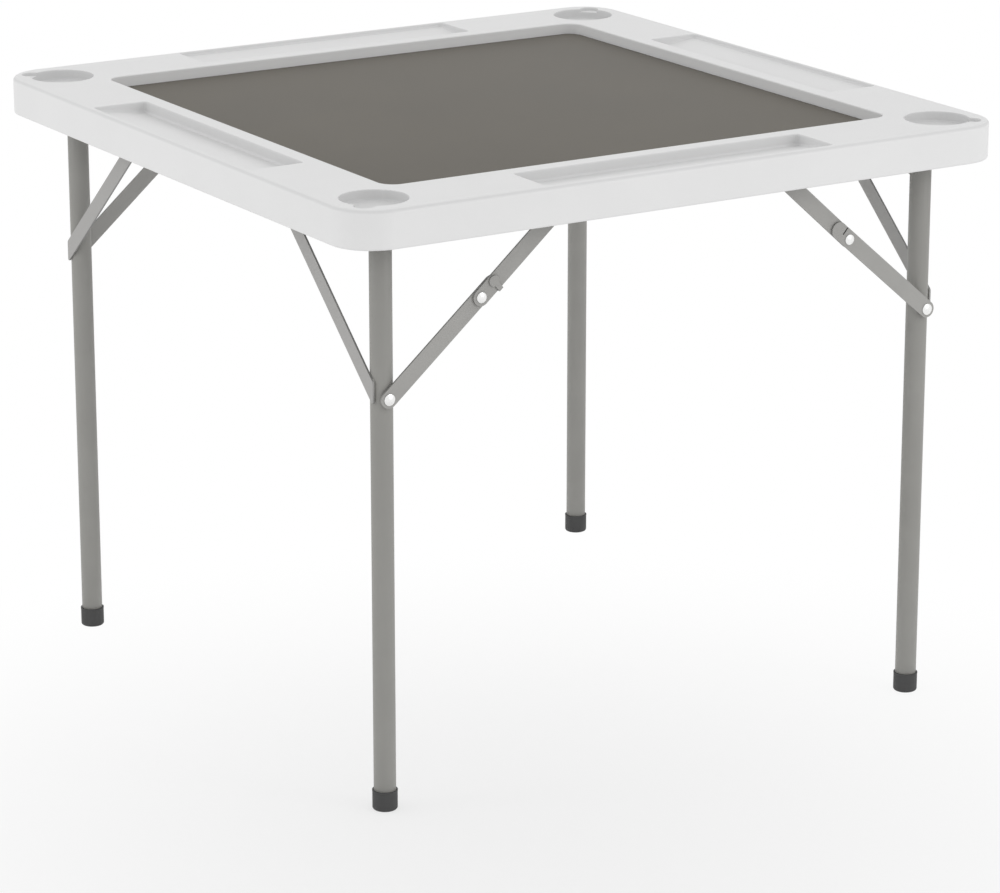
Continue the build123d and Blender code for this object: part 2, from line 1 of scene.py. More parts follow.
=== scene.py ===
import json
import logging
import math
import random
from collections.abc import Sequence
from dataclasses import dataclass, field
from enum import Enum
from typing import Any

import bmesh
import bpy
from mathutils import Matrix, Vector


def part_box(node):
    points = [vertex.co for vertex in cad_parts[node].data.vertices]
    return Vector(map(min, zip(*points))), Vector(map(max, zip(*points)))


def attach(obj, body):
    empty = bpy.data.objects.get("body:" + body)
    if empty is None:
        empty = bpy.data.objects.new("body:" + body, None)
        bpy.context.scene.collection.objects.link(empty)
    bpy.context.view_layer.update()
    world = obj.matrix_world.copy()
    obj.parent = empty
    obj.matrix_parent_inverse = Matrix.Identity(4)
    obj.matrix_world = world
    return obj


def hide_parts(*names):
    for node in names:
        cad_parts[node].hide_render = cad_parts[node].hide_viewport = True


# A square folding card table: its moulded top, covered playing board, two steel leg frames and
# four jointed stays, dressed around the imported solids. Lengths in metres, angles in degrees.

log = logging.getLogger("card_table")
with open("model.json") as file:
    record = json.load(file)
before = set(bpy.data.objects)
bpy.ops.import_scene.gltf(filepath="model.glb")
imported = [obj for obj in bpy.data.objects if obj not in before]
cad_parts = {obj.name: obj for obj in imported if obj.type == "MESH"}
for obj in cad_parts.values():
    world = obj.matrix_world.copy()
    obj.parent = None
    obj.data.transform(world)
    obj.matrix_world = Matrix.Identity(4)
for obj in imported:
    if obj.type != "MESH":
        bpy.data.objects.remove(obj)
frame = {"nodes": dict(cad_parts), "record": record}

Colour = tuple[float, float, float]
Span = tuple[float, float]

MM = 0.001
WHITE = (1.0, 1.0, 1.0)
UPWARDS = Vector((0, 0, 1))

# Names of the values that a mesh's faces carry
CUT_EDGE_AND_SHADE = "cut_edge"
ROLLED_BAR = "rolled_bar"

# Radius of the covered board's corners
BOARD_CORNER = 17.8 * MM

# How close points are that become one, how short an edge is that is dropped, and how many degrees
# the faces of one flat area may differ
MERGE = 0.002 * MM
SLIVER = 0.001 * MM
FLAT_ANGLE = 0.4

# The part of a cloudy noise that shows, and the light a colour keeps in painted shade and on cut
# edges
CLOUD_SPAN = (0.3, 0.7)
SHADE_AND_CUT_EDGE_LIGHT = 0.1

# Numbers of the sockets that the Mix node uses for colours
MIX_SHARE, MIX_FIRST, MIX_SECOND, MIX_COLOUR = 0, 6, 7, 2


class Side(Enum):
    """The two leg frames, with the sign of their place along X."""

    LEFT = -1
    RIGHT = 1

    @property
    def word(self) -> str:
        """Name of the side as the nodes spell it."""
        return self.name.lower()


class End(Enum):
    """The two ends of a leg frame, with the sign of their place along Y."""

    FRONT = -1
    BACK = 1

    @property
    def word(self) -> str:
        """Name of the end as the nodes spell it."""
        return self.name.lower()


def linear(red: int, green: int, blue: int) -> Colour:
    """Change a colour of 0 to 255 a channel, as a screen shows it, to linear light.

    Args:
        red: Red channel.
        green: Green channel.
        blue: Blue channel.

    Returns:
        The three channels in linear light.
    """
    full, knee, slope, lift, power = 255, 0.04045, 12.92, 0.055, 2.4
    shares = [channel / full for channel in (red, green, blue)]
    light = [
        share / slope if share <= knee else ((share + lift) / (1 + lift)) ** power
        for share in shares
    ]
    return (light[0], light[1], light[2])


class Signal:
    """A shader value that adds Math nodes when it is used in a Python expression."""

    def __init__(self, graph: "Graph", socket: bpy.types.NodeSocket) -> None:
        """Wrap an output socket of a graph's node."""
        self.graph = graph
        self.socket = socket

    def math(self, operation: str, *others: "Signal | float") -> "Signal":
        """Put the value through a Math node.

        Args:
            operation: The Math node's operation.
            others: Its second and third values.

        Returns:
            The node's result.
        """
        inputs = dict(enumerate((self, *others)))
        return self.graph.add("ShaderNodeMath", {"operation": operation}, inputs)

    def __add__(self, other: "Signal | float") -> "Signal":
        """Add a value."""
        return self.math("ADD", other)

    def __sub__(self, other: "Signal | float") -> "Signal":
        """Take a value away."""
        return self.math("SUBTRACT", other)

    def __rsub__(self, other: float) -> "Signal":
        """Take this value away from a number."""
        return self.graph.number(other).math("SUBTRACT", self)

    def __mul__(self, other: "Signal | float") -> "Signal":
        """Multiply by a value."""
        return self.math("MULTIPLY", other)

    def __abs__(self) -> "Signal":
        """Drop the sign."""
        return self.math("ABSOLUTE")

    __radd__ = __add__
    __rmul__ = __mul__

    def between(self, low: float, high: float) -> "Signal":
        """Ramp smoothly from 0 at low to 1 at high.

        Args:
            low: The value that gives 0.
            high: The value that gives 1.

        Returns:
            The ramp's result.
        """
        settings = {"interpolation_type": "SMOOTHSTEP"}
        inputs = {"Value": self, "From Min": low, "From Max": high}
        return self.graph.add("ShaderNodeMapRange", settings, inputs)


class Graph:
    """The node tree of one material or of the world, read in Object coordinates."""

    def __init__(self, owner: bpy.types.Material | bpy.types.World) -> None:
        """Empty the node tree of its owner and start anew."""
        owner.use_nodes = True
        self.owner = owner
        self.tree = owner.node_tree
        self.tree.nodes.clear()
        self.place = self.add("ShaderNodeTexCoord", output="Object")

    @classmethod
    def named(cls, name: str) -> "Graph":
        """Start the graph of a new material."""
        return cls(bpy.data.materials.new(name))

    def add(
        self,
        kind: str,
        settings: dict[str, Any] | None = None,
        inputs: dict[str | int, Any] | None = None,
        output: str | int = 0,
    ) -> Signal:
        """Add a node, set it and link it.

        Args:
            kind: The node's type.
            settings: Its properties, which are set first.
            inputs: Values or signals for its sockets, by name or number.
            output: The output to return.

        Returns:
            The chosen output.
        """
        node = self.tree.nodes.new(kind)
        for name, value in (settings or {}).items():
            setattr(node, name, value)
        for key, value in (inputs or {}).items():
            if isinstance(value, Signal):
                self.tree.links.new(value.socket, node.inputs[key])
            else:
                node.inputs[key].default_value = value
        return Signal(self, node.outputs[output])

    def number(self, value: float) -> Signal:
        """Give a number as a signal."""
        signal = self.add("ShaderNodeValue")
        signal.socket.default_value = value
        return signal

    def noise(
        self, size: float, detail: float, stretch: Sequence[float] = (1.0, 1.0, 1.0)
    ) -> Signal:
        """Make noise whose features are about a given size.

        Args:
            size: Size of a feature, in metres.
            detail: Octaves of finer noise on top.
            stretch: Scale of the pattern along each axis.

        Returns:
            Noise between 0 and 1.
        """
        scaling = {"Vector": self.place, "Scale": tuple(stretch)}
        place = self.add("ShaderNodeMapping", inputs=scaling)
        inputs = {"Vector": place, "Scale": 1 / size, "Detail": detail}
        return self.add("ShaderNodeTexNoise", inputs=inputs)

    def cells(self, size: float, feature: str = "F1") -> Signal:
        """Make Voronoi cells of a given size, as the distance to each cell's middle or edge.

        Args:
            size: Size of a cell, in metres.
            feature: What the distance is measured to.

        Returns:
            The distance as a share of the cell.
        """
        inputs = {"Vector": self.place, "Scale": 1 / size}
        return self.add("ShaderNodeTexVoronoi", {"feature": feature}, inputs, "Distance")

    def axes(self) -> tuple[Signal, Signal, Signal]:
        """Split the place into its three axes."""
        parts = [
            self.add("ShaderNodeSeparateXYZ", inputs={"Vector": self.place}, output=axis)
            for axis in "XYZ"
        ]
        return (parts[0], parts[1], parts[2])

    def past_square(self, half: float, corner: float) -> Signal:
        """Measure how far a place lies outside an upright square column with round corners.

        Args:
            half: Half the side of the square.
            corner: Radius of its corners.

        Returns:
            The distance, which is at least minus the radius everywhere inside.
        """
        x, y, _ = self.axes()
        past_x, past_y = ((abs(axis) - (half - corner)).math("MAXIMUM", 0.0) for axis in (x, y))
        return (past_x * past_x + past_y * past_y).math("SQRT") - corner

    def attribute(self, name: str) -> Signal:
        """Read a value that the mesh carries, which is 0 where it carries none."""
        return self.add("ShaderNodeAttribute", {"attribute_name": name}, output="Fac")

    def mix(
        self, share: Signal | float, first: "Signal | Colour", second: "Signal | Colour"
    ) -> Signal:
        """Blend two colours.

        Args:
            share: How much of the second colour there is.
            first: The first colour.
            second: The second colour.

        Returns:
            The blended colour.
        """
        colours = [tone if isinstance(tone, Signal) else (*tone, 1.0) for tone in (first, second)]
        inputs = {MIX_SHARE: share, MIX_FIRST: colours[0], MIX_SECOND: colours[1]}
        return self.add("ShaderNodeMix", {"data_type": "RGBA"}, inputs, MIX_COLOUR)

    def blend(self, share: Signal, first: Signal, second: Signal) -> Signal:
        """Blend two shaders.

        Args:
            share: How much of the second shader there is.
            first: The first shader.
            second: The second shader.

        Returns:
            The blended shader.
        """
        return self.add("ShaderNodeMixShader", inputs={0: share, 1: first, 2: second})

    def surface(
        self,
        colour: Signal,
        roughness: Signal,
        height: Signal,
        depth: float,
        fixed: dict[str, float] | None = None,
    ) -> bpy.types.Material:
        """Finish the material with a Principled shader and a bump.

        Args:
            colour: Base colour.
            roughness: Roughness.
            height: Height of the relief, about 0 to 1.
            depth: Depth of the relief in metres.
            fixed: Values of other sockets of the shader.

        Returns:
            The finished material.
        """
        relief = {"Height": height, "Distance": depth, "Strength": 1.0}
        bump = self.add("ShaderNodeBump", inputs=relief)
        inputs = {"Base Color": colour, "Roughness": roughness, "Normal": bump, **(fixed or {})}
        self.finish(self.add("ShaderNodeBsdfPrincipled", inputs=inputs))
        return self.owner

    def finish(self, shader: Signal) -> None:
        """Link a shader to the output of the material or the world."""
        kind = "World" if isinstance(self.owner, bpy.types.World) else "Material"
        node = self.tree.nodes.new(f"ShaderNodeOutput{kind}")
        self.tree.links.new(shader.socket, node.inputs["Surface"])


def shade(colour: Colour, factor: float) -> Colour:
    """Make a colour lighter or darker by a factor."""
    return (colour[0] * factor, colour[1] * factor, colour[2] * factor)


@dataclass(frozen=True)
class MouldedPlastic:
    """White moulded plastic with a fine spark-eroded grain.

    Its recesses and a narrow band round its rim are a little darker with painted shade. A tone is
    how much of the dark shade colour is mixed in, and a span holds the two distances or slopes
    between which something fades in.
    """

    name: str = "moulded_top"
    colour: Colour = linear(229, 229, 229)
    bloom: float = 0.985
    grain: float = 1.1 * MM
    pit_size: float = 1.7
    pit_span: Span = (0.0, 0.7)
    cloud: float = 90 * MM
    depth: float = 0.045 * MM
    grain_share: float = 0.6
    gloss: float = 0.4
    gloss_grain: float = 0.1
    gloss_cloud: float = 0.05
    specular: float = 0.42
    # Painted shade: how much darker the recess walls, tray and cup walls, recess floors and rim
    # band are
    wall_tone: float = 0.07
    tray_tone: float = 0.06
    cup_tone: float = 0.08
    floor_tone: float = 0.12
    rim_tone: float = 0.13
    beyond_field: Span = (344.5 * MM, 358 * MM)
    beyond_corner: Span = (337.5 * MM, 341.5 * MM)
    level_span: Span = (0.8, 0.98)
    floor_span: Span = (9 * MM, 14 * MM)
    rim_start: Span = (0.1 * MM, 1.6 * MM)
    rim_end: Span = (2.4 * MM, 5 * MM)
    corner: float = 50 * MM
    rim: float = 5.5 * MM
    rim_fade: float = 0.7 * MM

    def shadow(self, graph: Graph) -> Signal:
        """Find how much painted shade the recesses and the rim have.

        Args:
            graph: The material's graph.

        Returns:
            The share of the dark painted shade colour.
        """
        _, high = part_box("table_top")
        x, y, z = graph.axes()
        drop = high.z - z
        normal = graph.add("ShaderNodeTexCoord", output="Normal")
        up = graph.add("ShaderNodeSeparateXYZ", inputs={"Vector": normal}, output="Z")
        trays = abs(x).math("MAXIMUM", abs(y)).between(*self.beyond_field)
        cups = abs(x).math("MINIMUM", abs(y)).between(*self.beyond_corner)
        # Painted shade in the hollows: the walls darkest, the deep floors a little
        walls = trays * self.tray_tone + cups * self.cup_tone + self.wall_tone
        upright = 1 - abs(up).between(*self.level_span)
        floor = drop.between(*self.floor_span) * up.between(*self.level_span)
        recess = upright * walls + floor * self.floor_tone
        # Painted shade in a narrow band down the rounding of the outer rim
        past_rim = graph.past_square(high.x - self.rim, self.corner - self.rim)
        inside = 1 - past_rim.between(-self.rim_fade, self.rim_fade)
        rim = drop.between(*self.rim_start) - drop.between(*self.rim_end)
        return recess * inside + rim * (1 - inside) * self.rim_tone

    def material(self) -> bpy.types.Material:
        """Build the plastic's material."""
        graph = Graph.named(self.name)
        cloud = graph.noise(self.cloud, detail=2)
        grain = graph.noise(self.grain, detail=4)
        pits = graph.cells(self.grain * self.pit_size).between(*self.pit_span)
        bloom = cloud.between(*CLOUD_SPAN)
        clean = graph.mix(bloom, shade(self.colour, self.bloom), self.colour)
        colour = graph.mix(self.shadow(graph), clean, shade(self.colour, SHADE_AND_CUT_EDGE_LIGHT))
        roughness = self.gloss + grain * self.gloss_grain + cloud * self.gloss_cloud
        height = grain * self.grain_share + pits * (1 - self.grain_share)
        fixed = {"Specular IOR Level": self.specular}
        return graph.surface(colour, roughness, height, self.depth, fixed)


@dataclass(frozen=True)
class CoveredBoard:
    """Warm grey grained covering of the playing board, with a faint bloom and a dark edge line.

    The edge line is painted shadow, with some dust, in the gap round the board.
    """

    name: str = "playing_cover"
    colour: Colour = linear(101, 97, 89)
    darkest: float = 0.92
    brightest: float = 1.07
    edge_span: Span = (-2.0 * MM, -0.6 * MM)
    edge_tone: float = 0.9
    grain: float = 0.9 * MM
    fibre_size: float = 0.35
    crease_span: Span = (0.0, 0.25)
    cloud: float = 160 * MM
    cloud_span: Span = (0.25, 0.75)
    cloud_share: float = 0.7
    depth: float = 0.06 * MM
    crease_share: float = 0.7
    gloss: float = 0.52
    gloss_change: float = 0.08
    specular: float = 0.3

    def material(self) -> bpy.types.Material:
        """Build the covering's material."""
        graph = Graph.named(self.name)
        cloud = graph.noise(self.cloud, detail=3)
        grain = graph.cells(self.grain)
        crease = graph.cells(self.grain, "DISTANCE_TO_EDGE").between(*self.crease_span)
        fibre = graph.noise(self.grain * self.fibre_size, detail=2)
        bloom = cloud.between(*self.cloud_span)
        bright = bloom * self.cloud_share + fibre * (1 - self.cloud_share)
        darkest, brightest = shade(self.colour, self.darkest), shade(self.colour, self.brightest)
        cover = graph.mix(bright, darkest, brightest)
        low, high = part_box("playing_surface")
        # Painted shadow, with dust, along the gap round the board's edge
        edge = graph.past_square((high.x - low.x) / 2, BOARD_CORNER).between(*self.edge_span)
        colour = graph.mix(edge * self.edge_tone, cover, shade(self.colour, SHADE_AND_CUT_EDGE_LIGHT))
        roughness = self.gloss + cloud * self.gloss_change + grain * self.gloss_change
        height = crease * self.crease_share + fibre * (1 - self.crease_share)
        fixed = {"Specular IOR Level": self.specular}
        return graph.surface(colour, roughness, height, self.depth, fixed)


@dataclass(frozen=True)
class PowderCoat:
    """Satin powder coat on steel, with the slight ripple of its cured skin."""

    name: str
    colour: Colour
    darkest: float = 0.95
    brightest: float = 1.04
    gloss: float = 0.36
    gloss_speck: float = 0.12
    gloss_cloud: float = 0.05
    ripple: float = 1.6 * MM
    ripple_share: float = 0.8
    speck_size: float = 0.22
    cloud: float = 60 * MM
    cloud_share: float = 0.6
    depth: float = 0.05 * MM
    edge_tone: float = 0.55
    bar_colour: Colour = linear(164, 163, 161)

    def material(self) -> bpy.types.Material:
        """Build the coat's material."""
        graph = Graph.named(self.name)
        ripple = graph.noise(self.ripple, detail=2)
        speck = graph.noise(self.ripple * self.speck_size, detail=1)
        cloud = graph.noise(self.cloud, detail=2)
        bloom = cloud.between(*CLOUD_SPAN)
        tone = bloom * self.cloud_share + speck * (1 - self.cloud_share)
        darkest, brightest = shade(self.colour, self.darkest), shade(self.colour, self.brightest)
        paint = graph.mix(tone, darkest, brightest)
        paint = graph.mix(graph.attribute(ROLLED_BAR), paint, self.bar_colour)
        # Cut edges are darkened as bare steel, with painted shade of the gaps beside them
        edge = graph.attribute(CUT_EDGE_AND_SHADE) * self.edge_tone
        colour = graph.mix(edge, paint, shade(self.colour, SHADE_AND_CUT_EDGE_LIGHT))
        roughness = self.gloss + speck * self.gloss_speck + cloud * self.gloss_cloud
        height = ripple * self.ripple_share + speck * (1 - self.ripple_share)
        return graph.surface(colour, roughness, height, self.depth, {"Metallic": 0.0})


@dataclass(frozen=True)
class PlatedSteel:
    """Bright or dull zinc plate with fine drawn lines and faint spangle."""

    name: str
    colour: Colour
    gloss: float = 0.28
    gloss_lines: float = 0.14
    line: float = 0.5 * MM
    line_stretch: tuple[float, float, float] = (1.0, 1.0, 0.06)
    line_share: float = 0.6
    depth: float = 0.02 * MM
    spangle: float = 0.14
    spangle_size: float = 9.0
    spangle_lift: float = 1 / 3
    edge_tone: float = 0.6
    metallic: float = 0.85

    def material(self) -> bpy.types.Material:
        """Build the plated steel's material."""
        graph = Graph.named(self.name)
        lines = graph.noise(self.line, detail=2, stretch=self.line_stretch)
        spangle = graph.cells(self.line * self.spangle_size)
        tone = lines * self.line_share + spangle * (1 - self.line_share)
        darkest = shade(self.colour, 1 - self.spangle)
        brightest = shade(self.colour, 1 + self.spangle * self.spangle_lift)
        plate = graph.mix(tone, darkest, brightest)
        # Cut edges are darkened as bare steel, with painted shade of the gaps and rings beside
        # them
        edge = graph.attribute(CUT_EDGE_AND_SHADE) * self.edge_tone
        colour = graph.mix(edge, plate, shade(self.colour, SHADE_AND_CUT_EDGE_LIGHT))
        roughness = self.gloss + lines * self.gloss_lines
        return graph.surface(colour, roughness, lines, self.depth, {"Metallic": self.metallic})


@dataclass(frozen=True)
class SoftMoulding:
    """Matt rubber or nylon with a dusty bloom and a fine moulded grain."""

    name: str
    colour: Colour
    gloss: float = 0.55
    gloss_dust: float = 0.15
    gloss_grain: float = 0.1
    grain: float = 0.7 * MM
    dust: float = 14 * MM
    dust_span: Span = (0.45, 0.8)
    dust_tone: float = 0.5
    grain_tone: float = 0.2
    dusty: float = 1.35
    depth: float = 0.05 * MM
    specular: float = 0.4

    def material(self) -> bpy.types.Material:
        """Build the moulding's material."""
        graph = Graph.named(self.name)
        grain = graph.noise(self.grain, detail=3)
        dust = graph.noise(self.dust, detail=3).between(*self.dust_span)
        bloom = dust * self.dust_tone + grain * self.grain_tone
        colour = graph.mix(bloom, self.colour, shade(self.colour, self.dusty))
        roughness = self.gloss + dust * self.gloss_dust + grain * self.gloss_grain
        fixed = {"Specular IOR Level": self.specular}
        return graph.surface(colour, roughness, grain, self.depth, fixed)


FINISHES = (
    MouldedPlastic(),
    CoveredBoard(),
    PowderCoat("frame_paint", linear(146, 145, 141)),
    PowderCoat("stay_steel", linear(160, 159, 156), gloss=0.32),
    PlatedSteel("zinc_steel", linear(190, 191, 190), gloss=0.34),
    PlatedSteel("rivet_steel", linear(243, 243, 242), gloss=0.2, spangle=0.04, edge_tone=0.75),
    SoftMoulding("foot_rubber", linear(66, 66, 66)),
    SoftMoulding("black_plastic", linear(48, 48, 48), gloss=0.42),
    SoftMoulding("bearing_nylon", linear(58, 58, 60), gloss=0.4),
)


def placed(name: str, data: bpy.types.ID) -> bpy.types.Object:
    """Make an object of some data and link it to the scene.

    Args:
        name: Name of the object.
        data: Its mesh, camera or lamp.

    Returns:
        The object.
    """
    thing = bpy.data.objects.new(name, data)
    bpy.context.scene.collection.objects.link(thing)
    return thing


@dataclass
class Workshop:
    """Finishes by slot, and the way each finished mesh becomes a piece of the table."""

    materials: dict[str, bpy.types.Material] = field(default_factory=dict)
    slots: dict[str, str] = field(default_factory=dict)
    bodies: dict[str, str] = field(default_factory=dict)
    flat_weight: int = 100

    def open(self) -> None:
        """Build every finish and read which slot and body each node has."""
        self.materials = {finish.name: finish.material() for finish in FINISHES}
        record = frame["record"]
        self.slots = {row["node"]: row["material_slot"] for row in record["subparts"]}
        for body, nodes in record["behaviour"]["bodies"].items():
            self.bodies.update({node: body for node in nodes})

    def publish(
        self, name: str, mesh: bmesh.types.BMesh, body: str, slot: str
    ) -> bpy.types.Object:
        """Turn a finished bmesh into a piece that rides a body.

        Args:
            name: Name of the piece.
            mesh: Its finished mesh, which is freed here.
            body: The body it moves with.
            slot: The material slot it takes its finish from.

        Returns:
            The piece.
        """
        data = bpy.data.meshes.new(name)
        mesh.to_mesh(data)
        triangles = sum(len(face.verts) - 2 for face in mesh.faces)
        mesh.free()
        data.shade_smooth()
        piece = placed(name, data)
        data.materials.append(self.materials[slot])
        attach(piece, body)
        log.info("%s rides %s with %d triangles", name, body, triangles)
        return piece

    def replace(self, node: str, mesh: bmesh.types.BMesh) -> bpy.types.Object:
        """Turn a finished bmesh into the piece that stands for a node.

        Args:
            node: The node it stands for.
            mesh: Its finished mesh.

        Returns:
            The piece.
        """
        piece = self.publish(f"{node}_skin", mesh, self.bodies[node], self.slots[node])
        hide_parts(node)
        return piece

    def dress(self, node: str, edges: "Edges") -> None:
        """Let a copy with rounded edges and evenly shaded faces stand for a node.

        Args:
            node: The node to dress.
            edges: How its edges are rounded and shaded.
        """
        mesh = node_copy(node)
        edges.finish(mesh)
        piece = self.replace(node, mesh)
        modifier = piece.modifiers.new("flat_areas", "WEIGHTED_NORMAL")
        modifier.keep_sharp = True
        modifier.weight = self.flat_weight


@dataclass(frozen=True)
class Edges:
    """How the edges of a piece are rounded and shaded.

    A sheet piece also says along which axis it is thin, so that its cut edges show darker, as bare
    steel and as painted shade of the gaps and rings beside them, and whether it is a rolled bar,
    which keeps a paler skin under the paint. A face is a cut edge where its normal has less than
    the thin limit along that axis, and one that faces sideways has only the side tone of the full
    tint, so the painted shade is deepest on edges that face up or down.
    """

    width: float = 0.0
    segments: int = 2
    corner: float = 30.0
    crease: float = 45.0
    thin_axis: int | None = None
    thin_limit: float = 0.3
    side_tone: float = 0.25
    rolled: bool = False

    def finish(self, mesh: bmesh.types.BMesh) -> None:
        """Round, mark and tint the edges of a mesh.

        Args:
            mesh: The mesh to finish.
        """
        self.tint(mesh)
        if self.width:
            self.soften(mesh)
        self.crease_marks(mesh)

    def tint(self, mesh: bmesh.types.BMesh) -> None:
        """Give a sheet's faces the values that its material reads.

        Args:
            mesh: The mesh to tint.
        """
        if self.thin_axis is None:
            return
        rolled = mesh.faces.layers.float.new(ROLLED_BAR)
        layer = mesh.faces.layers.float.new(CUT_EDGE_AND_SHADE)
        for face in mesh.faces:
            cut = abs(face.normal[self.thin_axis]) < self.thin_limit
            # Painted shade: cut edges that face up or down get the full tint
            tone = self.side_tone + (1 - self.side_tone) * abs(face.normal.z)
            face[rolled] = float(self.rolled)
            face[layer] = float(cut) * tone

    def soften(self, mesh: bmesh.types.BMesh) -> None:
        """Round every edge sharper than the corner angle.

        Args:
            mesh: The mesh to round.
        """
        limit = math.radians(self.corner)
        sharp = [
            edge for edge in mesh.edges if edge.is_manifold and edge.calc_face_angle(0.0) > limit
        ]
        rounded(mesh, sharp, self.width, self.segments)

    def crease_marks(self, mesh: bmesh.types.BMesh) -> None:
        """Leave edges sharper than the crease angle unsmoothed.

        Args:
            mesh: The mesh to mark.
        """
        limit = math.radians(self.crease)
        for edge in mesh.edges:
            edge.smooth = not edge.is_manifold or edge.calc_face_angle(0.0) < limit


def rounded(
    mesh: bmesh.types.BMesh, parts: list[Any], width: float, segments: int, affect: str = "EDGES"
) -> None:
    """Round some edges or corner points of a mesh.

    Args:
        mesh: The mesh.
        parts: The edges or points.
        width: How far the rounding reaches from them.
        segments: Steps of the rounding.
        affect: EDGES to round edges, or VERTICES to round points.
    """
    bmesh.ops.bevel(
        mesh, geom=parts, offset=width, offset_type="OFFSET", affect=affect,
        segments=segments, profile=0.5, material=-1, clamp_overlap=True,
    )


def node_copy(node: str) -> bmesh.types.BMesh:
    """Copy a node's mesh, with its triangles joined and its flat areas made whole.

    Args:
        node: Name of the node.

    Returns:
        The joined mesh.
    """
    mesh = bmesh.new()
    mesh.from_mesh(frame["nodes"][node].data)
    bmesh.ops.remove_doubles(mesh, verts=mesh.verts, dist=MERGE)
    bmesh.ops.dissolve_degenerate(mesh, edges=mesh.edges, dist=SLIVER)
    flat = math.radians(FLAT_ANGLE)
    bmesh.ops.dissolve_limit(mesh, angle_limit=flat, verts=mesh.verts, edges=mesh.edges)
    return mesh


def turned(
    profile: Sequence[tuple[float, float]], foot: Vector, axis: Vector, steps: int = 48
) -> bmesh.types.BMesh:
    """Turn a profile about an axis.

    Args:
        profile: Points as distance from the axis and height along it.
        foot: The point on the axis where heights start.
        axis: Direction of the axis.
        steps: Steps of the full turn.

    Returns:
        The turned mesh, closed and facing outwards.
    """
    mesh = bmesh.new()
    across = axis.orthogonal().normalized()
    points = [mesh.verts.new(foot + across * radius + axis * height) for radius, height in profile]
    lines = [mesh.edges.new(pair) for pair in zip(points, points[1:])]
    bmesh.ops.spin(
        mesh, geom=points + lines, cent=foot, axis=axis, dvec=(0, 0, 0), angle=math.tau,
        steps=steps, use_merge=True, use_normal_flip=False, use_duplicate=False,
    )
    bmesh.ops.remove_doubles(mesh, verts=mesh.verts, dist=SLIVER)
    bmesh.ops.recalc_face_normals(mesh, faces=mesh.faces)
    return mesh


def arc(
    centre: tuple[float, float], radius: float, start: float, stop: float, steps: int
) -> list[tuple[float, float]]:
    """List the points of an arc of a profile.

    Args:
        centre: Middle of the arc.
        radius: Radius of the arc.
        start: Angle of its first point.
        stop: Angle of its last point.
        steps: Steps between them.

    Returns:
        The points, first and last included.
    """
    across, up = centre
    turns = [math.radians(start + (stop - start) * step / steps) for step in range(steps + 1)]
    return [(across + radius * math.cos(turn), up + radius * math.sin(turn)) for turn in turns]


@dataclass
class TableTop:
    """The moulded top and the covered board that lies in its field."""

    shop: Workshop
    top_edges: Edges = Edges(crease=50.0)
    board_edge: float = 0.9 * MM
    corner_steps: int = 14
    edge_steps: int = 4

    def board(self) -> None:
        """Build the covered board with round corners and a rolled upper edge."""
        low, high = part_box("playing_surface")
        mesh = bmesh.new()
        half = (high.x - low.x) / 2
        centre = Matrix.Translation(((low.x + high.x) / 2, (low.y + high.y) / 2, low.z))
        bmesh.ops.create_grid(mesh, x_segments=1, y_segments=1, size=half, matrix=centre)
        rounded(mesh, mesh.verts[:], BOARD_CORNER, self.corner_steps, "VERTICES")
        raised = bmesh.ops.extrude_face_region(mesh, geom=mesh.faces[:])["geom"]
        lifted = [item for item in raised if isinstance(item, bmesh.types.BMVert)]
        bmesh.ops.translate(mesh, verts=lifted, vec=(0, 0, high.z - low.z))
        bmesh.ops.recalc_face_normals(mesh, faces=mesh.faces)
        rim = [edge for edge in mesh.edges if all(vert in lifted for vert in edge.verts)]
        rounded(mesh, rim, self.board_edge, self.edge_steps)
        self.shop.replace("playing_surface", mesh)

    def build(self) -> None:
        """Build both pieces."""
        self.shop.dress("table_top", self.top_edges)
        self.board()


@dataclass
class UnderGear:
    """What is screwed up under the top: rails, bearings, straps, screws and anchor pins."""

    shop: Workshop
    sheet_edges: Edges = Edges(0.35 * MM)
    nylon_edges: Edges = Edges(0.6 * MM, segments=3)
    screw_edges: Edges = Edges(0.12 * MM)

    def build(self) -> None:
        """Dress every node of the under gear."""
        for end in End:
            self.shop.dress(f"side_rail_{end.word}", self.sheet_edges)
            for side in Side:
                self.shop.dress(f"pivot_bearing_{side.word}_{end.word}", self.nylon_edges)
                self.shop.dress(f"bearing_strap_{side.word}_{end.word}", self.sheet_edges)
        for node in ("rail_screws", "strap_screws", "stay_anchor_pins"):
            self.shop.dress(node, self.screw_edges)


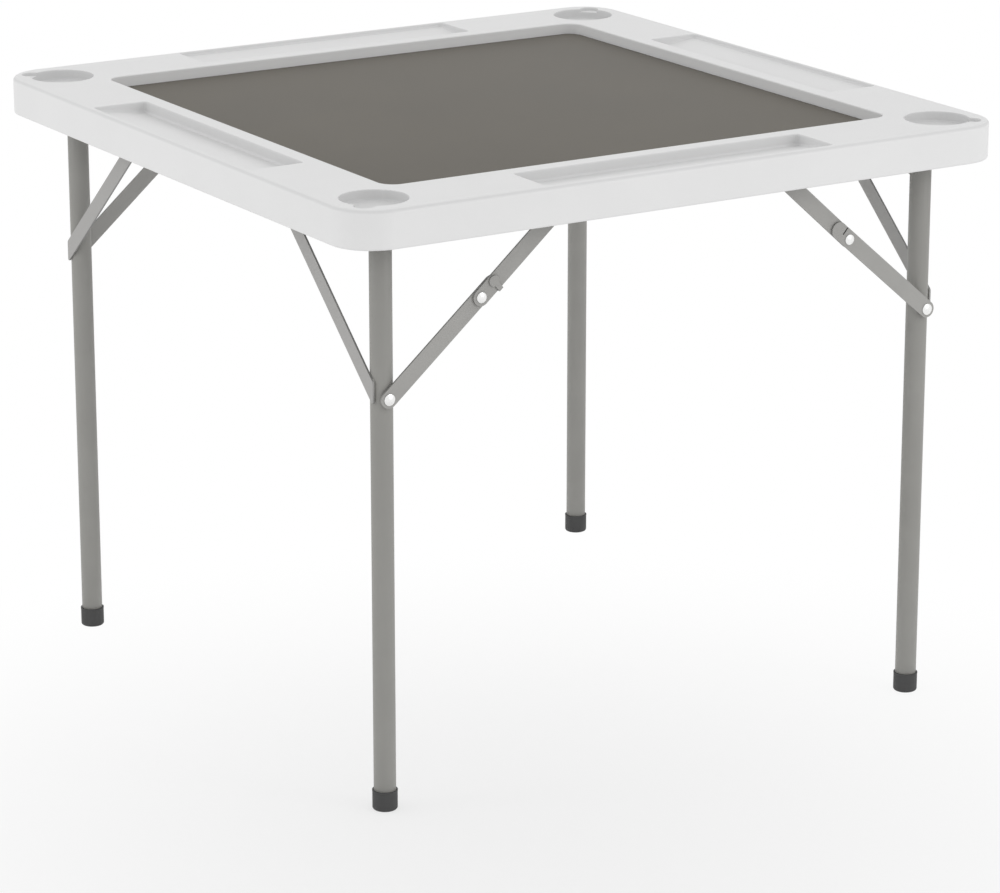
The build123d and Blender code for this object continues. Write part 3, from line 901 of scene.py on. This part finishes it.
@dataclass
class LegFrame:
    """One leg frame: two legs, their cross tube, gussets, feet, plugs, rivets and welds."""

    shop: Workshop
    side: Side
    tube_wall: float = 1.2 * MM
    tube_lip: float = 0.3 * MM
    leg_rings: int = 6
    foot_floor: float = 5.0 * MM
    foot_round: float = 3.0 * MM
    foot_rim: float = 1.8 * MM
    foot_step: float = 0.2 * MM
    foot_gap: float = 0.05 * MM
    foot_turns: int = 64
    sole_steps: int = 6
    lip_steps: int = 3
    bead: float = 2.0 * MM
    bead_sizes: Span = (0.85, 1.15)
    bead_detail: int = 2
    bead_seed: int = 7
    saddle_beads: int = 44
    seam_beads: int = 9
    seam_start: float = 9 * MM
    seam_pitch: float = 2.1 * MM
    seam_aside: float = 3.4 * MM
    seam_sink: float = 0.4 * MM
    tube_edges: Edges = Edges()
    foot_edges: Edges = Edges(crease=50.0)
    # Gusset and rivet cut edges take painted shade: gap lines and dark rings round the rivets
    gusset_edges: Edges = Edges(0.35 * MM, thin_axis=0, rolled=True)
    plug_edges: Edges = Edges(0.25 * MM)
    rivet_edges: Edges = Edges(0.12 * MM, thin_axis=1)

    @property
    def body(self) -> str:
        """Name of the frame's body."""
        return f"{self.side.word}_frame"

    def leg_line(self, end: End) -> tuple[Vector, float, float]:
        """Find a leg's foot point on its axis, its radius and its length.

        Args:
            end: Which leg.

        Returns:
            The foot point, the radius and the length.
        """
        low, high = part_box(f"leg_{end.word}_{self.side.word}")
        foot = Vector(((low.x + high.x) / 2, (low.y + high.y) / 2, low.z))
        return foot, (high.x - low.x) / 2, high.z - low.z

    def leg(self, end: End) -> None:
        """Turn a leg as an open tube with softened rims.

        Args:
            end: Which leg.
        """
        foot, radius, length = self.leg_line(end)
        bore, lip = radius - self.tube_wall, self.tube_lip
        rings = [(radius, length * step / self.leg_rings) for step in range(1, self.leg_rings)]
        profile = [
            (bore, lip), (bore + lip, 0), (radius - lip, 0), (radius, lip),
            *rings,
            (radius, length - lip), (radius - lip, length),
            (bore + lip, length), (bore, length - lip), (bore, lip),
        ]
        mesh = turned(profile, foot, UPWARDS)
        self.tube_edges.finish(mesh)
        self.shop.replace(f"leg_{end.word}_{self.side.word}", mesh)

    def foot(self, end: End) -> None:
        """Turn a rubber foot cap with a round sole and a thin rim.

        Args:
            end: Which foot.
        """
        node = f"foot_{end.word}_{self.side.word}"
        low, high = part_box(node)
        centre = Vector(((low.x + high.x) / 2, (low.y + high.y) / 2, 0))
        _, tube, _ = self.leg_line(end)
        rim, height = (high.x - low.x) / 2, high.z
        step, sole, floor = self.foot_step, self.foot_round, self.foot_floor
        wall, seam, bore = rim - step, height - self.foot_rim, tube + self.foot_gap
        profile = [
            (0, 0),
            *arc((wall - sole, sole), sole, -90, 0, self.sole_steps),
            (wall, seam - step),
            *arc((wall, seam), step, -90, 0, self.lip_steps)[1:],
            (rim, height - step),
            *arc((rim - step, height - step), step, 0, 90, self.lip_steps)[1:],
            (bore, height), (bore, floor), (0, floor),
        ]
        mesh = turned(profile, centre, UPWARDS, self.foot_turns)
        self.foot_edges.finish(mesh)
        self.shop.replace(node, mesh)

    def saddle(self, end: End) -> list[Vector]:
        """List the places of the ripples round the saddle where the cross tube meets a leg.

        Args:
            end: Which leg.

        Returns:
            The places, all the way round.
        """
        low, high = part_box(f"cross_tube_{self.side.word}")
        pivot = Vector(((low.x + high.x) / 2, 0, (low.z + high.z) / 2))
        radius = (high.z - low.z) / 2
        foot, _, _ = self.leg_line(end)
        spots = []
        for step in range(self.saddle_beads):
            turn = math.tau * step / self.saddle_beads
            spot = pivot + Vector((math.cos(turn), 0, math.sin(turn))) * radius
            spot.y = end.value * (abs(foot.y) - radius * abs(math.sin(turn)))
            spots.append(spot)
        return spots

    def seams(self, end: End) -> list[Vector]:
        """List the places of the ripples along both sides of a gusset's lower end.

        Args:
            end: Which gusset.

        Returns:
            The places, from the bottom up.
        """
        low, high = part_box(f"gusset_{end.word}_{self.side.word}")
        inner = low.x if self.side is Side.RIGHT else high.x
        x = inner - self.side.value * self.seam_sink
        foot, _, _ = self.leg_line(end)
        start = low.z + self.seam_start
        rises = [start + step * self.seam_pitch for step in range(self.seam_beads)]
        return [Vector((x, foot.y + off * self.seam_aside, z)) for z in rises for off in (-1, 1)]

    def ripple(self, mesh: bmesh.types.BMesh, spot: Vector, maker: random.Random) -> None:
        """Add one ripple of a weld bead.

        Args:
            mesh: The mesh of the beads.
            spot: Where the ripple lies.
            maker: Source of the small differences in size and turn.
        """
        size = self.bead * maker.uniform(*self.bead_sizes)
        turn = Matrix.Rotation(maker.uniform(0, math.pi), 4, "X")
        place = Matrix.Translation(spot) @ turn
        bmesh.ops.create_icosphere(mesh, subdivisions=self.bead_detail, radius=size, matrix=place)

    def welds(self) -> None:
        """Lay rippled weld beads where the cross tube and the gussets meet the legs."""
        maker = random.Random(self.bead_seed + self.side.value)
        mesh = bmesh.new()
        for end in End:
            for spot in self.saddle(end) + self.seams(end):
                self.ripple(mesh, spot, maker)
        self.shop.publish(f"welds_{self.side.word}", mesh, self.body, "frame_paint")

    def build(self) -> None:
        """Build every piece of the frame."""
        for end in End:
            self.leg(end)
            self.foot(end)
            self.shop.dress(f"gusset_{end.word}_{self.side.word}", self.gusset_edges)
        self.shop.dress(f"cross_tube_{self.side.word}", self.tube_edges)
        self.shop.dress(f"leg_plugs_{self.side.word}", self.plug_edges)
        self.shop.dress(f"stay_rivets_{self.side.word}", self.rivet_edges)
        self.welds()


@dataclass
class Stay:
    """One folding stay: its two bars and the two halves of its knee rivet."""

    shop: Workshop
    side: Side
    end: End
    # Bar and rivet cut edges take painted shade: gap lines between the bars and rings round the
    # rivets
    bar_edges: Edges = Edges(0.3 * MM, thin_axis=1)
    rivet_edges: Edges = Edges(0.12 * MM, thin_axis=1)

    def build(self) -> None:
        """Dress the bars and rivets."""
        finishes = {
            "lower_stay": self.bar_edges,
            "upper_stay": self.bar_edges,
            "knee_rivet": self.rivet_edges,
            "knee_tail": self.rivet_edges,
        }
        for kind, edges in finishes.items():
            self.shop.dress(f"{kind}_{self.end.word}_{self.side.word}", edges)


@dataclass(frozen=True)
class Camera:
    """The photograph's view: a plain camera that looks down and isn't tilted sideways."""

    place: tuple[float, float, float] = (-2.504, -4.057, 1.715)
    heading: float = 31.84
    pitch: float = 16.83
    focal: float = 4052.0
    picture_width: float = 1000.0
    sensor: float = 36.0
    reach: float = 100.0

    def build(self) -> None:
        """Make the camera and give it to the scene."""
        data = bpy.data.cameras.new("photo_camera")
        data.sensor_width = self.sensor
        data.lens = self.focal / self.picture_width * self.sensor
        data.clip_end = self.reach
        camera = placed("photo_camera", data)
        camera.location = self.place
        camera.rotation_euler = (math.radians(90 - self.pitch), 0, math.radians(-self.heading))
        bpy.context.scene.camera = camera


@dataclass(frozen=True)
class Softbox:
    """A soft lamp that looks at the table."""

    name: str
    place: tuple[float, float, float]
    power: float
    size: tuple[float, float] = (1.4, 2.2)
    aim: tuple[float, float, float] = (0.0, 0.0, 0.5)

    def build(self) -> None:
        """Hang the lamp."""
        data = bpy.data.lights.new(self.name, "AREA")
        data.shape = "RECTANGLE"
        data.size, data.size_y = self.size
        data.energy = self.power
        lamp = placed(self.name, data)
        lamp.location = self.place
        look = Vector(self.aim) - Vector(self.place)
        lamp.rotation_euler = look.to_track_quat("-Z", "Y").to_euler()


@dataclass(frozen=True)
class Studio:
    """A pale floor with a painted pool of shade near the table, an even white surround and two
    soft lamps.
    """

    floor_size: float = 60.0
    floor_tone: Colour = (0.93, 0.93, 0.93)
    pool_centre: tuple[float, float] = (-0.35, -0.6)
    pool_tone: float = 0.905
    pool_reach: float = 1.15
    shadow_share: float = 0.3
    surround: float = 0.83
    softboxes: tuple[Softbox, ...] = (
        Softbox("right_softbox", (1.9, -3.7, 1.9), 25.0),
        Softbox("left_softbox", (-3.9, 0.9, 1.9), 20.5),
    )

    def seen_directly(self, graph: Graph) -> Signal:
        """Tell rays from the camera, a mirror or glass from the rays that light the scene.

        Args:
            graph: The graph of the floor or the surround.

        Returns:
            1 for rays that show the background, else 0.
        """
        kinds = ("Camera", "Glossy", "Transmission")
        camera, glossy, clear = [
            graph.add("ShaderNodeLightPath", output=f"Is {kind} Ray") for kind in kinds
        ]
        return camera.math("MAXIMUM", glossy).math("MAXIMUM", clear)

    def floor(self) -> None:
        """Lay the floor, which shows nearly white with a painted pool of shade, keeps some shadow
        and is clear from below.
        """
        mesh = bmesh.new()
        bmesh.ops.create_grid(mesh, x_segments=1, y_segments=1, size=self.floor_size / 2)
        data = bpy.data.meshes.new("floor")
        mesh.to_mesh(data)
        mesh.free()
        piece = placed("floor", data)
        graph = Graph.named("floor")
        x, y, _ = graph.axes()
        # Painted shade: the floor's glow turns greyer in a pool round the table
        aside, ahead = x - self.pool_centre[0], y - self.pool_centre[1]
        away = (aside * aside + ahead * ahead).math("SQRT").between(0.0, self.pool_reach)
        white = graph.mix(away, shade(WHITE, self.pool_tone), WHITE)
        matt = graph.add("ShaderNodeBsdfDiffuse", inputs={"Color": (*self.floor_tone, 1.0)})
        glow = graph.add("ShaderNodeEmission", inputs={"Color": white})
        share = self.seen_directly(graph) * (1 - (1 - away) * self.shadow_share)
        upper = graph.blend(share, matt, glow)
        under = graph.add("ShaderNodeNewGeometry", output="Backfacing")
        clear = graph.add("ShaderNodeBsdfTransparent")
        graph.finish(graph.blend(under, upper, clear))
        data.materials.append(graph.owner)

    def world(self) -> None:
        """Light the scene evenly and show white behind it."""
        world = bpy.data.worlds.new("surround")
        graph = Graph(world)
        strength = self.seen_directly(graph) * (1 - self.surround) + self.surround
        inputs = {"Color": (*WHITE, 1.0), "Strength": strength}
        graph.finish(graph.add("ShaderNodeBackground", inputs=inputs))
        bpy.context.scene.world = world

    def build(self) -> None:
        """Set up the whole studio."""
        self.floor()
        self.world()
        for softbox in self.softboxes:
            softbox.build()
        bpy.context.scene.view_settings.view_transform = "Standard"


def main() -> None:
    """Build the whole scene, piece by piece."""
    logging.basicConfig(level=logging.INFO, format="%(name)s: %(message)s")
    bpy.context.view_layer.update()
    Camera().build()
    Studio().build()
    shop = Workshop()
    shop.open()
    TableTop(shop).build()
    UnderGear(shop).build()
    for side in Side:
        LegFrame(shop, side).build()
        for end in End:
            Stay(shop, side, end).build()


if __name__ == "__main__":
    main()
